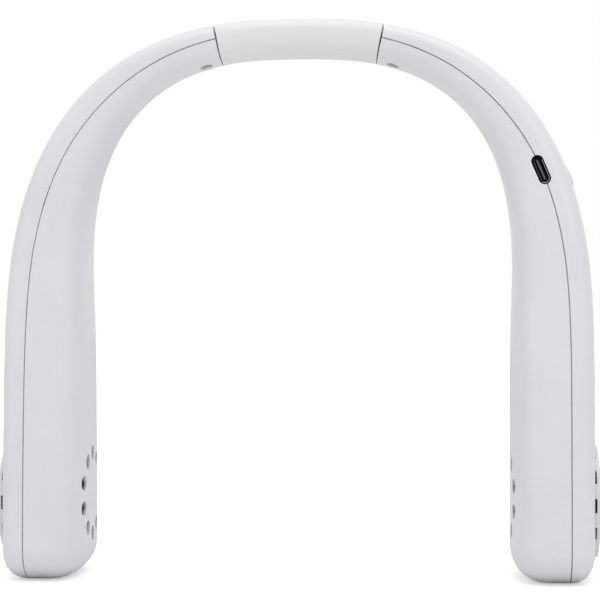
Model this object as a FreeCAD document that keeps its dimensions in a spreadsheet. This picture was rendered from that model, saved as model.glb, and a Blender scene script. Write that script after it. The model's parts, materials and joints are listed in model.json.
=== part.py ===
import FreeCAD, Part
import Sketcher
import math
import os
import types

# Wearable neck fan: a U of two hollow arms hinged to a short bridge, a fan in each leg end.
# X runs across the legs, Z up the legs to the arch, Y through the flat of the U.
# The origin is midway between the feet, on the plane that they stand on.

V = FreeCAD.Vector
PLACE = FreeCAD.Placement
TURN = FreeCAD.Rotation
X_AXIS = V(1, 0, 0)
Y_AXIS = V(0, 1, 0)
Z_AXIS = V(0, 0, 1)

# Driving dimensions in millimetres, with angles in degrees and plain counts and exponents.
# A formula ties a size to the ones above it.
SIZES = {
    # centreline of an arm: a superellipse quarter above a straight leg
    "spine_half_width": 79.15,
    "spine_rise": 88.5,
    "spring_height": 81.7,
    "arch_exponent": 2.6,
    # cross section, growing from the arch to the leg
    "growth_start": 9.2,
    "arch_thickness": 12.4,
    "leg_thickness": 25.6,
    "thickness_start": 20.0,
    "thickness_run": 136.0,
    "arch_half_depth": 8.7,
    "leg_half_depth": 24.2,
    "depth_run": 196.0,
    "arch_outer_exponent": 3.0,
    "leg_outer_exponent": 6.0,
    "arch_inner_exponent": 2.8,
    "leg_inner_exponent": 3.0,
    # rounded foot
    "foot_height": 10.0,
    "foot_approach": 26.0,
    "foot_outer_inset": 6.0,
    "foot_inner_inset": 9.5,
    "foot_depth_inset": 14.0,
    # shells and their parting line
    "wall": 2.0,
    "parting_arch": 4.6,
    "parting_leg": 7.8,
    "parting_run": 64.0,
    "groove_width": 0.4,
    "groove_depth": 1.5,
    # seams and hinges
    "seam_distance": 25.5,
    "seam_gap_outer": 0.8,
    "seam_gap_inner": 0.3,
    "bridge_wall": 1.6,
    "hinge_block_length": 9.0,
    "arm_block_length": 8.4,
    "pivot_offset": 2.9,
    "pin_diameter": 2.4,
    "pin_length": 12.0,
    "lug_width": 3.4,
    "lug_radius": 2.4,
    "slot_height": 8.0,
    # fits
    "fit": 0.05,
    "snug": 0.02,
    "clearance": 0.3,
    "overrun": 5.0,
    # wires
    "wire_diameter": 1.6,
    "wire_drop": 2.9,
    "wire_channel": 2.2,
    "lead_angle": 217.0,
    "lead_run": 5.0,
    # shell screws and their plugs
    "screw_offset": 5.8,
    "screw_spread": 3.3,
    "screw_diameter": 1.7,
    "screw_reach": 4.0,
    "screw_head_diameter": 3.4,
    "screw_head_height": 1.0,
    "screw_head_drop": 4.0,
    "plug_diameter": 4.1,
    # scroll and duct divider
    "scroll_margin": 4.0,
    "scroll_radius": "=leg_half_depth - wall - scroll_margin",
    "scroll_wall": 1.2,
    "scroll_outlet_rise": 12.0,
    "divider_face": 2.0,
    "divider_thickness": 1.2,
    "divider_top": 108.0,
    # intake holes, cover and opening
    "fan_height": 25.3,
    "intake_hole_count": 10,
    "intake_hole_diameter": 4.7,
    "intake_ring_height": 25.9,
    "intake_wall": 0.9,
    "intake_land": 3.2,
    "intake_ring_inset": 5.4,
    "intake_ring_radius": "=scroll_radius - intake_ring_inset",
    "cover_height": 24.3,
    "cover_margin": 0.7,
    "cover_radius": "=scroll_radius - cover_margin",
    "intake_inset": 5.5,
    "intake_diameter": "=2 * (cover_radius - intake_inset)",
    "cover_seat_depth": 1.0,
    "cover_lift": 0.35,
    "cover_edge": 1.0,
    "cover_dome": 1.4,
    "cover_skirt": 1.3,
    "cover_window_count": 12,
    "cover_window_width": 4.4,
    # outlet slots
    "outlet_count": 18,
    "outlet_first": 62.0,
    "outlet_last": 168.0,
    "outlet_width": 2.2,
    # impeller
    "impeller_gap": 1.2,
    "impeller_radius": "=scroll_radius - impeller_gap",
    "impeller_lift": 3.9,
    "impeller_width": 13.8,
    "hub_radius": 10.4,
    "hub_wall": 1.0,
    "blade_count": 24,
    "blade_root_gap": 0.6,
    "blade_root_radius": "=hub_radius + blade_root_gap",
    "blade_length": "=impeller_radius - blade_root_radius",
    "blade_thickness": 0.8,
    "blade_lean": 25.0,
    "hub_height": 8.3,
    "disc_thickness": 1.2,
    # motor
    "motor_gap": 0.5,
    "motor_base_radius": 9.5,
    "motor_base_thickness": 1.4,
    "hub_gap": 1.0,
    "magnet_thickness": 2.0,
    "magnet_height": 5.0,
    "stator_radius": 6.8,
    "stator_height": 4.0,
    "coil_radius": 6.0,
    "coil_root_radius": 3.6,
    "coil_height": 1.1,
    "coil_gap": 0.3,
    "bush_radius": 2.5,
    "bush_length": 8.0,
    "shaft_radius": 1.0,
    "shaft_length": 10.2,
    # battery
    "battery_thickness": 11.0,
    "battery_width": 11.4,
    "battery_length": 46.0,
    "battery_bottom": 56.0,
    "battery_gap": 0.15,
    # control board, socket and button on the right arm
    "board_station": 92.4,
    "board_length": 25.0,
    "board_width": 15.0,
    "board_near_edge": 10.0,
    "board_thickness": 1.0,
    "boss_radius": 2.0,
    "boss_inset": 2.5,
    "boss_spacing": "=board_length - 2 * boss_inset",
    "boss_side": 5.0,
    "board_screw_radius": 0.8,
    "board_screw_length": 4.0,
    "board_screw_head_radius": 1.5,
    "board_screw_head_height": 0.8,
    "socket_length": 8.94,
    "socket_thickness": 3.26,
    "socket_depth": 7.35,
    "socket_wall": 0.3,
    "socket_recess": 0.25,
    "socket_hole_margin": 0.3,
    "tongue_length": 6.7,
    "tongue_thickness": 0.7,
    "tongue_reach": 5.2,
    "tongue_back": 1.2,
    "switch_width": 4.6,
    "switch_height": 3.0,
    "plunger_radius": 1.0,
    "plunger_height": 0.9,
    "plunger_well": 1.4,
    "button_offset": 4.8,
    "button_radius": 3.4,
    "button_proud": 0.9,
    "button_gap": 0.3,
    "button_flange_drop": 1.0,
    "button_flange_radius": 4.2,
    "button_flange": 0.8,
    "button_stem_radius": 1.4,
}

# Shares chosen by hand
COVER_DOME_SHARES = (0.0, 0.3, 0.55, 0.75, 0.9)
FOOT_APPROACH_SHARES = (1.0, 0.62, 0.38, 0.22, 0.1)
OUTLET_LENGTH_SHARE = 0.5
BEND_SHARE = 0.45
PLUNGER_SUNK_SHARE = 0.5
LEAD_RISE_SHARES = (0.75, 0.5, 0.15)
LEAD_BEND_SHARE = 0.47
SKIN_SHARE = 0.5
PROUD_SKIN_SHARES = (-1.0, -0.5, 0.0, 0.5, 1.0)
BATTERY_LEAD_SHARE = 0.45
# Link wire: share of the arch's length, then of the half depth and of the thickness there
LINK_SHARES = (
    (0.283, 0.0, -0.232),
    (0.391, 0.14, -0.24),
    (0.522, 0.144, -0.268),
    (0.652, 0.125, -0.25),
    (0.764, -0.03, -0.193))
# Chips on the control board: place along and across it, then length and width
CHIP_SHARES = (
    (0.4, 0.28, 0.16, 0.22),
    (-0.36, 0.12, 0.2, 0.3),
    (-0.08, 0.36, 0.1, 0.16),
    (0.38, 0.05, 0.1, 0.12))
OUTLET_CENTRE_SHARE = 0.45
# Stations of the lofts, and points on each half of a section
BODY_STATIONS = 10
FOOT_STATIONS = 6
HALF_SECTION_POINTS = 25
SPINE_STEPS = 1440

doc = FreeCAD.newDocument("neck_fan")
sheet = doc.addObject("Spreadsheet::Sheet", "sizes")
for row, (name, value) in enumerate(SIZES.items(), start=1):
    sheet.set("A%d" % row, name)
    sheet.set("B%d" % row, str(value))
    sheet.setAlias("B%d" % row, name)
doc.recompute()
d = types.SimpleNamespace(**{name: float(sheet.get(name)) for name in SIZES})

# Expressions that several pieces share
LEG_OUT = "(sizes.spine_half_width + sizes.leg_thickness / 2)"
LEG_IN = "(sizes.spine_half_width - sizes.leg_thickness / 2)"
COVER_SEAT = "(" + LEG_OUT + " - sizes.cover_seat_depth)"
COVER_BACK = "(" + LEG_OUT + " + sizes.cover_lift)"
COVER_RIM = "(" + COVER_BACK + " + sizes.cover_edge)"
MOTOR_FLOOR = "(" + LEG_IN + " + sizes.wall + sizes.motor_gap)"
MOTOR_TOP = "(" + MOTOR_FLOOR + " + sizes.motor_base_thickness)"
HUB_FLOOR = "(" + MOTOR_TOP + " + sizes.hub_gap)"
HUB_TOP = "(" + HUB_FLOOR + " + sizes.hub_height)"
DISC_FLOOR = "(" + HUB_TOP + " - sizes.disc_thickness)"
HUB_BORE = "(sizes.hub_radius - sizes.hub_wall)"
COIL_FLOOR = "(" + MOTOR_TOP + " + sizes.coil_gap)"
CORE_FLOOR = "(" + COIL_FLOOR + " + sizes.coil_height)"
CORE_TOP = "(" + CORE_FLOOR + " + sizes.stator_height)"

leg_out = d.spine_half_width + d.leg_thickness / 2
leg_in = d.spine_half_width - d.leg_thickness / 2

nodes = {}


# Centreline and cross sections


def smooth(share):
    share = min(max(share, 0.0), 1.0)
    return share * share * (3 - 2 * share)


def grown(arch_value, leg_value, run, station):
    return arch_value + (leg_value - arch_value) * smooth((abs(station) - d.growth_start) / run)


def thickness(station):
    share = smooth((abs(station) - d.thickness_start) / d.thickness_run)
    return d.arch_thickness + (d.leg_thickness - d.arch_thickness) * share


def half_depth(station):
    return grown(d.arch_half_depth, d.leg_half_depth, d.depth_run, station)


def parting_level(station):
    """Height of the parting line above the centreline, measured outward."""
    return thickness(station) / 2 - grown(d.parting_arch, d.parting_leg, d.parting_run, station)


def spine_table():
    """Points of the arch from its apex to the spring line, with the length run so far."""
    power = 2 / d.arch_exponent
    table = []
    length = 0.0
    for step in range(SPINE_STEPS + 1):
        angle = math.pi / 2 * step / SPINE_STEPS
        across = d.spine_half_width * math.sin(angle) ** power
        up = d.spine_rise * max(math.cos(angle), 0.0) ** power
        if table:
            length += math.hypot(across - table[-1][1], up - table[-1][2])
        table.append((length, across, up))
    return table


SPINE = spine_table()
ARCH_LENGTH = SPINE[-1][0]
FOOT_STATION = ARCH_LENGTH + d.spring_height


def spine(station):
    """Point and outward normal of the centreline at a length from the apex, to the right if positive."""
    side = -1 if station < 0 else 1
    run = abs(station)
    if run >= ARCH_LENGTH:
        return V(side * d.spine_half_width, 0, d.spring_height + ARCH_LENGTH - run), V(side, 0, 0)
    index = next(i for i, entry in enumerate(SPINE) if entry[0] >= run and i > 0)
    before, after = SPINE[index - 1], SPINE[index]
    share = (run - before[0]) / (after[0] - before[0])
    across = before[1] + (after[1] - before[1]) * share
    up = before[2] + (after[2] - before[2]) * share
    normal = V((across / d.spine_half_width) ** (d.arch_exponent - 1) / d.spine_half_width, 0,
               (up / d.spine_rise) ** (d.arch_exponent - 1) / d.spine_rise)
    normal.normalize()
    return V(side * across, 0, d.spring_height + up), V(side * normal.x, 0, normal.z)


def frame(station, along=0.0, across=0.0, out=0.0):
    """Placement at a station: X along the arm, Y through the U, Z outward."""
    point, normal = spine(station)
    tangent = V(normal.z, 0, -normal.x)
    place = PLACE(point, TURN(tangent, Y_AXIS, normal, "ZXY"))
    return place * PLACE(V(along, across, out), TURN())


def at_station(station, across, out):
    return frame(station, 0, across, out).Base


def foot_inset(station, inset, full):
    """How far the rounded foot draws a side in at a station of a form that lies inset in the skin."""
    height = d.foot_height - inset
    rise = FOOT_STATION - inset - station
    if rise >= height:
        return 0.0
    drop = 1 - max(rise, 0.0) / height
    return (full - inset) * (1 - math.sqrt(max(1 - drop * drop, 0.0)))


def half_section(station, inset, side):
    """Points of the near or far half of the arm's outline, drawn in by an inset."""
    out_half = thickness(station) / 2 - inset - foot_inset(station, inset, d.foot_outer_inset)
    in_half = thickness(station) / 2 - inset - foot_inset(station, inset, d.foot_inner_inset)
    depth = half_depth(station) - inset - foot_inset(station, inset, d.foot_depth_inset)
    out_power = grown(d.arch_outer_exponent, d.leg_outer_exponent, d.thickness_run, station)
    in_power = grown(d.arch_inner_exponent, d.leg_inner_exponent, d.thickness_run, station)
    place = frame(station)
    points = []
    for step in range(HALF_SECTION_POINTS):
        angle = math.pi * step / (HALF_SECTION_POINTS - 1)
        level, reach = math.cos(angle), math.sin(angle)
        power = out_power if level > 0 else in_power
        size = out_half if level > 0 else in_half
        radius = (abs(level) ** power + abs(reach) ** power) ** (-1 / power)
        points.append(place.multVec(V(0, side * depth * radius * reach, size * radius * level)))
    return points


def section_parameters():
    """One spacing of curve parameters for every section, so that the lofts stay light."""
    points = half_section(FOOT_STATION - d.foot_height, 0, 1)
    runs = [0.0]
    for before, after in zip(points, points[1:]):
        runs.append(runs[-1] + before.distanceToPoint(after))
    return [run / runs[-1] for run in runs]


SECTION_PARAMETERS = section_parameters()


def section(station, inset):
    """Closed outline of the arm, drawn in by an inset, as a near and a far half."""
    halves = []
    for side in (-1, 1):
        curve = Part.BSplineCurve()
        curve.interpolate(Points=half_section(station, inset, side), Parameters=SECTION_PARAMETERS,
                          InitialTangent=Y_AXIS * side, FinalTangent=Y_AXIS * -side)
        halves.append(curve.toShape())
    halves[1].reverse()
    return Part.Wire(halves)


def arm_stations(start, inset):
    """Stations from a start to the foot, closer together where the foot rounds."""
    bend = FOOT_STATION - d.foot_height
    straight = bend - d.foot_approach
    stations = [start + (straight - start) * i / BODY_STATIONS for i in range(BODY_STATIONS)]
    stations += [bend - d.foot_approach * share for share in FOOT_APPROACH_SHARES]
    height = d.foot_height - inset
    for step in range(FOOT_STATIONS + 1):
        angle = math.pi / 2 * step / FOOT_STATIONS
        stations.append(bend + height * math.sin(angle))
    return stations


def loft(name, stations, inset):
    item = doc.addObject("Part::Feature", name)
    item.Shape = Part.makeLoft([section(station, inset) for station in stations], True, False)
    return item


def parting_prism(name, shift):
    """Everything outward of the parting line of the right arm, moved outward by a shift."""
    reach = d.leg_half_depth + d.overrun
    start = d.seam_distance - d.overrun
    end = FOOT_STATION + d.overrun
    count = BODY_STATIONS + FOOT_STATIONS
    stations = [start + (end - start) * i / count for i in range(count + 1)]
    points = [at_station(s, -reach, parting_level(s) + shift) for s in stations]
    curve = Part.BSplineCurve()
    curve.interpolate(points)
    far_x = leg_out + d.cover_dome + d.overrun
    far_z = d.spring_height + d.spine_rise + d.arch_thickness + d.overrun
    corners = [points[-1], V(far_x, -reach, points[-1].z), V(far_x, -reach, far_z),
               V(points[0].x, -reach, far_z), points[0]]
    edges = [curve.toShape()]
    edges += [Part.LineSegment(a, b).toShape() for a, b in zip(corners, corners[1:])]
    item = doc.addObject("Part::Feature", name)
    item.Shape = Part.Face(Part.Wire(edges)).extrude(V(0, 2 * reach, 0))
    return item


# Document objects


def bind(item, expressions):
    for prop, text in expressions.items():
        item.setExpression(prop, text)
    return item


def box(name, place, length, width, height):
    """A block centred on its placement in X and Y, rising along Z."""
    item = bind(doc.addObject("Part::Box", name), {"Length": length, "Width": width, "Height": height})
    doc.recompute([item])
    item.Placement = place * PLACE(V(-item.Length.Value / 2, -item.Width.Value / 2, 0), TURN())
    return item


def rod(name, place, radius, height):
    """A cylinder that starts at its placement and runs along Z."""
    item = bind(doc.addObject("Part::Cylinder", name), {"Radius": radius, "Height": height})
    item.Placement = place
    return item


def group(name, items):
    item = doc.addObject("Part::Compound", name)
    item.Links = items
    return item


def fuse(name, items):
    item = doc.addObject("Part::MultiFuse", name)
    item.Shapes = items
    return item


def cut(name, base, tool):
    item = doc.addObject("Part::Cut", name)
    item.Base = base
    item.Tool = tool
    return item


def common(name, base, tool):
    item = doc.addObject("Part::Common", name)
    item.Base = base
    item.Tool = tool
    return item


def mirrored(name, source):
    item = doc.addObject("Part::Mirroring", name)
    item.Source = source
    item.Normal = X_AXIS
    item.Base = V(0, 0, 0)
    return item


def origin_plane(body, role):
    return next(feature for feature in body.Origin.OriginFeatures if feature.Role == role)


def turned(name, place, outline):
    """A body turned about its Y axis from corners given as radius and height expressions."""
    body = doc.addObject("PartDesign::Body", name)
    sketch = body.newObject("Sketcher::SketchObject", name + "_outline")
    sketch.AttachmentSupport = (origin_plane(body, "XY_Plane"), [""])
    sketch.MapMode = "FlatFace"
    value = doc.addObject("App::FeaturePython", name + "_value")
    value.addProperty("App::PropertyFloat", "Number")
    corners = []
    for texts in outline:
        numbers = []
        for text in texts:
            value.setExpression("Number", text)
            doc.recompute([value])
            numbers.append(value.Number)
        corners.append(V(numbers[0], numbers[1], 0))
    doc.removeObject(value.Name)
    count = len(corners)
    for i in range(count):
        sketch.addGeometry(Part.LineSegment(corners[i], corners[(i + 1) % count]), False)
    for i in range(count):
        sketch.addConstraint(Sketcher.Constraint("Coincident", i, 2, (i + 1) % count, 1))
    for i, (radius, height) in enumerate(outline):
        for kind, text, number in (("DistanceX", radius, corners[i].x), ("DistanceY", height, corners[i].y)):
            index = sketch.addConstraint(Sketcher.Constraint(kind, i, 1, number))
            sketch.setExpression("Constraints[%d]" % index, text)
    revolution = body.newObject("PartDesign::Revolution", name + "_turn")
    revolution.Profile = sketch
    revolution.ReferenceAxis = (sketch, ["V_Axis"])
    body.Placement = place
    return body


def disc_outline(radius, start, end):
    return [("0", start), (radius, start), (radius, end), ("0", end)]


def ring_outline(inner, outer, start, end):
    return [(inner, start), (outer, start), (outer, end), (inner, end)]


def tube(name, points, diameter):
    """A wire along straight runs joined by tangent arcs, each as large as its runs allow."""
    edges = []
    start = points[0]
    for before, point, after in zip(points, points[1:], points[2:]):
        back, ahead = before - point, after - point
        setback = BEND_SHARE * min(back.Length, ahead.Length)
        half_turn = (math.pi - back.getAngle(ahead)) / 2
        first = point + back.normalize() * setback
        last = point + ahead.normalize() * setback
        radius = setback / math.tan(half_turn)
        centre = point + (back + ahead).normalize() * (setback / math.sin(half_turn))
        middle = centre + (point - centre).normalize() * radius
        edges.append(Part.LineSegment(start, first).toShape())
        edges.append(Part.Arc(first, middle, last).toShape())
        print("%s bend radius %.1f" % (name, radius))
        start = last
    edges.append(Part.LineSegment(start, points[-1]).toShape())
    path = Part.Wire(edges)
    direction = (points[1] - points[0]).normalize()
    ring = Part.Wire(Part.Circle(points[0], direction, diameter / 2).toShape())
    item = doc.addObject("Part::Feature", name)
    item.Shape = path.makePipeShell([ring], True, False)
    drawn = math.pi * diameter * diameter / 4 * path.Length
    print("%s volume %.2f of %.2f" % (name, item.Shape.Volume, drawn))
    return item


def keep(label, item):
    item.Label = label
    nodes[label] = item


def keep_pair(piece, item):
    keep("right_" + piece, item)
    keep("left_" + piece, mirrored("left_" + piece, item))


# Skin, cavity and parting of the right arm

seam_thickness = thickness(d.seam_distance)
hinge = frame(d.seam_distance)
pivot = at_station(d.seam_distance + d.pivot_offset, 0, parting_level(d.seam_distance + d.pivot_offset))
pivot_level = hinge.inverse().multVec(pivot)
block_end = d.seam_distance + d.arm_block_length

skin_whole = loft("skin_whole", arm_stations(d.seam_distance, 0), 0)
cavity = loft("cavity", arm_stations(block_end, d.wall), d.wall)
lining = loft("lining", arm_stations(block_end, d.wall + d.fit), d.wall + d.fit)
groove_core = loft("groove_core", arm_stations(d.seam_distance - d.overrun, d.groove_depth), d.groove_depth)

seam_tilt = math.degrees(math.atan2(d.seam_gap_outer - d.seam_gap_inner, seam_thickness))
seam_wedge = box(
    "seam_wedge",
    hinge * PLACE(V(d.seam_gap_inner, 0, -seam_thickness / 2), TURN(Y_AXIS, seam_tilt))
    * PLACE(V(-d.overrun / 2, 0, -d.overrun), TURN()),
    "sizes.overrun", "2 * (sizes.arch_half_depth + sizes.overrun)",
    "sizes.arch_thickness + 3 * sizes.overrun")
skin = cut("skin", skin_whole, seam_wedge)
hollow = cut("hollow", skin, cavity)

outward = parting_prism("outward", 0)
groove_band = cut("groove_band", parting_prism("groove_floor", -d.groove_width / 2),
                  parting_prism("groove_roof", d.groove_width / 2))
groove = cut("groove", groove_band, groove_core)
outer_blank = cut("outer_blank", common("outer_half", hollow, outward), groove)
inner_blank = cut("inner_blank", cut("inner_half", hollow, outward), groove)

# Hinge: a lug on a block in each end of the bridge, and a pin held between the shells

along_y = TURN(X_AXIS, -90)
lug_slot = box(
    "lug_slot",
    hinge * PLACE(V(d.pivot_offset / 2, 0, -d.slot_height / 2), TURN()),
    "2 * (sizes.lug_radius + sizes.clearance) + sizes.pivot_offset",
    "sizes.lug_width + 2 * sizes.clearance", "sizes.slot_height")
wire_way = box(
    "wire_way",
    frame(block_end, -d.arm_block_length / 2, 0, -d.wire_drop - d.wire_channel / 2),
    "sizes.arm_block_length + sizes.overrun", "sizes.wire_channel", "sizes.wire_channel")
pin_seat = rod("pin_seat", PLACE(pivot - Y_AXIS * (d.pin_length / 2 + d.snug), along_y),
               "sizes.pin_diameter / 2 + sizes.snug", "sizes.pin_length + 2 * sizes.snug")
hinge_cuts = fuse("hinge_cuts", [lug_slot, wire_way, pin_seat])

keep_pair("hinge_pin", turned(
    "hinge_pin", PLACE(pivot, TURN()),
    disc_outline("sizes.pin_diameter / 2", "-sizes.pin_length / 2", "sizes.pin_length / 2")))

bridge_skin = loft("bridge_skin",
                   [d.seam_distance * (2 * i / BODY_STATIONS - 1) for i in range(BODY_STATIONS + 1)], 0)
bridge_reach = d.seam_distance + d.overrun
bridge_bore = loft("bridge_bore",
                   [bridge_reach * (2 * i / BODY_STATIONS - 1) for i in range(BODY_STATIONS + 1)],
                   d.bridge_wall)
keep("bridge_sleeve", cut("bridge_sleeve", bridge_skin, bridge_bore))

block_start = d.seam_distance - d.hinge_block_length
block_body = loft("block_body",
                  [block_start + d.hinge_block_length * i / FOOT_STATIONS for i in range(FOOT_STATIONS + 1)],
                  d.bridge_wall + d.fit)
lug_end = rod("lug_end", PLACE(pivot - Y_AXIS * d.lug_width / 2, along_y),
              "sizes.lug_radius", "sizes.lug_width")
lug_neck = box("lug_neck", hinge * PLACE(V(0, 0, pivot_level.z - d.lug_radius), TURN()),
               "2 * sizes.pivot_offset", "sizes.lug_width", "2 * sizes.lug_radius")
lug_bore = rod("lug_bore", PLACE(pivot - Y_AXIS * d.lug_width, along_y),
               "sizes.pin_diameter / 2 + sizes.fit", "2 * sizes.lug_width")
block_way = box("block_way",
                frame(d.seam_distance - d.hinge_block_length / 2, 0, 0, -d.wire_drop - d.wire_channel / 2),
                "2 * sizes.hinge_block_length", "sizes.wire_channel", "sizes.wire_channel")
keep_pair("hinge_block", cut("hinge_block", fuse("lugged_block", [block_body, lug_end, lug_neck]),
                             group("block_cuts", [lug_bore, block_way])))

# Shell screws under rubber plugs, one on each side of the lug


def screw_place(side, out):
    return frame(d.seam_distance + d.screw_offset, 0, side * d.screw_spread, out)


def along_arm_normal(place):
    """Turns a body's Y axis to the outward direction of a placement."""
    return place * PLACE(V(0, 0, 0), TURN(X_AXIS, 90))


screws = []
plugs = []
screw_ways = []
screw_threads = []
for side in (-1, 1):
    tag = "near" if side < 0 else "far"
    screws.append(turned("screw_" + tag, along_arm_normal(screw_place(side, -d.screw_head_drop)), [
        ("0", "-sizes.screw_head_height"),
        ("sizes.screw_head_diameter / 2", "-sizes.screw_head_height"),
        ("sizes.screw_head_diameter / 2", "0"),
        ("sizes.screw_diameter / 2", "0"),
        ("sizes.screw_diameter / 2", "sizes.screw_head_drop + sizes.screw_reach"),
        ("0", "sizes.screw_head_drop + sizes.screw_reach")]))
    plug_top = -d.screw_head_drop - d.screw_head_height - d.snug
    plug_rod = rod("plug_rod_" + tag, screw_place(side, plug_top - d.overrun),
                   "sizes.plug_diameter / 2", "sizes.overrun")
    plugs.append(common("plug_" + tag, plug_rod, skin_whole))
    screw_ways.append(rod("plug_way_" + tag, screw_place(side, plug_top - d.overrun),
                          "sizes.plug_diameter / 2 + sizes.snug", "sizes.overrun + sizes.snug"))
    screw_ways.append(rod("head_way_" + tag, screw_place(side, plug_top),
                          "sizes.screw_head_diameter / 2 + sizes.snug",
                          "sizes.screw_head_height + 2 * sizes.snug"))
    screw_ways.append(rod("shank_way_" + tag, screw_place(side, -d.screw_head_drop),
                          "sizes.screw_diameter / 2 + sizes.fit", "2 * sizes.screw_head_drop"))
    screw_threads.append(rod("thread_way_" + tag, screw_place(side, 0),
                             "sizes.screw_diameter / 2 + sizes.snug", "sizes.screw_reach + sizes.snug"))
keep_pair("shell_screws", group("shell_screws", screws))
keep_pair("screw_plugs", group("screw_plugs", plugs))

# Leg end: intake holes, cover and its seat

fan_place = PLACE(V(0, 0, d.fan_height), TURN(Z_AXIS, -90))
cover_place = PLACE(V(0, 0, d.cover_height), TURN(Z_AXIS, -90))


def on_axis(height, along, radius=0.0, degrees=0.0):
    """Placement on a level axis through the leg, turned about it: Z along the axis, X away from it."""
    axis = PLACE(V(0, 0, height), TURN(Y_AXIS, 90))
    turn = PLACE(V(0, 0, 0), TURN(Z_AXIS, degrees))
    return axis * turn * PLACE(V(radius, 0, along), TURN())


def on_fan(along, radius=0.0, degrees=0.0):
    return on_axis(d.fan_height, along, radius, degrees)


intake_holes = []
for i in range(int(d.intake_hole_count)):
    angle = 360 * i / d.intake_hole_count
    hole_place = on_axis(d.intake_ring_height, leg_in - d.overrun, d.intake_ring_radius, angle)
    intake_holes.append(rod("intake_hole_%d" % i, hole_place,
                            "sizes.intake_hole_diameter / 2", "2 * sizes.overrun"))
land_rod = rod("land_rod", on_axis(d.intake_ring_height, leg_in),
               "sizes.intake_ring_radius + sizes.intake_land", "sizes.overrun")
land_pad = rod("land_pad", on_fan(leg_in), "sizes.motor_base_radius", "2 * sizes.overrun")
land_ring = cut("land_ring", land_rod, land_pad)
land_start = FOOT_STATION - d.intake_ring_height - d.intake_ring_radius - d.intake_land - d.overrun
land_core = loft("land_core", arm_stations(land_start, d.intake_wall), d.intake_wall)
intake_land = common("intake_land", land_ring, land_core)
cover_seat = rod("cover_seat", on_axis(d.cover_height, leg_out - d.cover_seat_depth),
                 "sizes.cover_radius + sizes.clearance", "sizes.overrun")
intake_opening = rod("intake_opening", on_fan(leg_out - d.wall - d.overrun),
                     "sizes.intake_diameter / 2", "2 * sizes.overrun")

dome = [("sizes.cover_radius * %g" % share,
         COVER_RIM + " + sizes.cover_dome * %g" % (1 - share * share)) for share in COVER_DOME_SHARES]
skirt_radius = "(sizes.cover_radius - sizes.cover_skirt)"
cover_blank = turned("cover_blank", cover_place, dome + [
    ("sizes.cover_radius", COVER_RIM),
    ("sizes.cover_radius", COVER_SEAT + " + sizes.snug"),
    (skirt_radius, COVER_SEAT + " + sizes.snug"),
    (skirt_radius, COVER_BACK),
    ("0", COVER_BACK)])
windows = []
for i in range(int(d.cover_window_count)):
    angle = 360 * i / d.cover_window_count
    window_low = leg_out - d.cover_seat_depth + d.cover_lift
    windows.append(box("cover_window_%d" % i, on_axis(d.cover_height, window_low, d.cover_radius, angle),
                       "4 * sizes.cover_skirt", "sizes.cover_window_width", "sizes.cover_seat_depth"))
keep_pair("intake_cover", cut("intake_cover", cover_blank, group("cover_windows", windows)))

# Outlet slots in the far face of the inner shell

outlets = []
for i in range(int(d.outlet_count)):
    station = d.outlet_first + (d.outlet_last - d.outlet_first) * i / (d.outlet_count - 1)
    band = thickness(station) / 2 + parting_level(station)
    level = parting_level(station) - (OUTLET_CENTRE_SHARE + OUTLET_LENGTH_SHARE / 2) * band
    slot = bind(doc.addObject("Part::Box", "outlet_%d" % i),
                {"Length": "sizes.outlet_width", "Width": "2 * sizes.wall"})
    slot.Height = OUTLET_LENGTH_SHARE * band
    slot.Placement = frame(station, -d.outlet_width / 2, half_depth(station) - 1.5 * d.wall, level)
    outlets.append(slot)

# Shells of both arms

hinge_and_threads = fuse("hinge_and_threads", [hinge_cuts] + screw_threads)
hinge_and_ways = fuse("hinge_and_ways", [hinge_cuts] + screw_ways)
outer_cuts = fuse("outer_cuts", [hinge_and_threads, cover_seat, intake_opening])
inner_cuts = fuse("inner_cuts", [hinge_and_ways, intake_land] + intake_holes + outlets)
outer_seated = cut("outer_seated", outer_blank, outer_cuts)
inner_holed = cut("inner_holed", inner_blank, inner_cuts)
keep("left_outer_shell", mirrored("left_outer_shell", outer_seated))
keep("left_inner_shell", mirrored("left_inner_shell", inner_holed))

# Fan scroll and duct divider, cut to the inside of the shells

leg_span = "(sizes.leg_thickness + sizes.overrun)"
ring_rod = rod("ring_rod", on_fan(leg_in), "sizes.scroll_radius + sizes.scroll_wall", leg_span)
ring_bore = rod("ring_bore", on_fan(leg_in - d.overrun), "sizes.scroll_radius",
                leg_span + " + 2 * sizes.overrun")
scroll_mouth = box("scroll_mouth",
                   PLACE(V(d.spine_half_width, d.scroll_radius - d.divider_face + d.divider_thickness,
                           d.fan_height + d.scroll_outlet_rise), TURN()),
                   leg_span, "2 * sizes.scroll_radius", "2 * sizes.scroll_radius")
lead_level = leg_in + d.wall + d.motor_gap + d.wire_diameter / 2
lead_end = d.motor_base_radius + d.fit
lead_rise = d.spine_half_width - lead_level
battery_side = -d.divider_face - d.battery_gap - d.battery_width / 2
scroll_top = d.fan_height + d.scroll_radius + d.scroll_wall
lead_bend = scroll_top + (d.battery_bottom - scroll_top) * LEAD_BEND_SHARE
motor_lead_points = [
    V(lead_level + lead_rise * LEAD_RISE_SHARES[0], battery_side, d.battery_bottom - d.clearance),
    V(lead_level + lead_rise * LEAD_RISE_SHARES[1], battery_side, lead_bend),
    V(lead_level + lead_rise * LEAD_RISE_SHARES[2], battery_side, scroll_top),
    on_fan(lead_level, lead_end + d.lead_run, d.lead_angle).Base,
    on_fan(lead_level, lead_end, d.lead_angle).Base]
lead_notch = bind(doc.addObject("Part::Box", "lead_notch"), {
    "Width": "2 * sizes.wire_channel", "Height": "2 * sizes.scroll_radius"})
lead_notch.Length = motor_lead_points[2].x + d.wire_channel - leg_in
lead_notch.Placement = PLACE(V(leg_in, motor_lead_points[2].y - d.wire_channel, d.fan_height), TURN())
scroll_ring = cut("scroll_ring", ring_rod, fuse("scroll_cuts", [ring_bore, scroll_mouth, lead_notch]))
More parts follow.
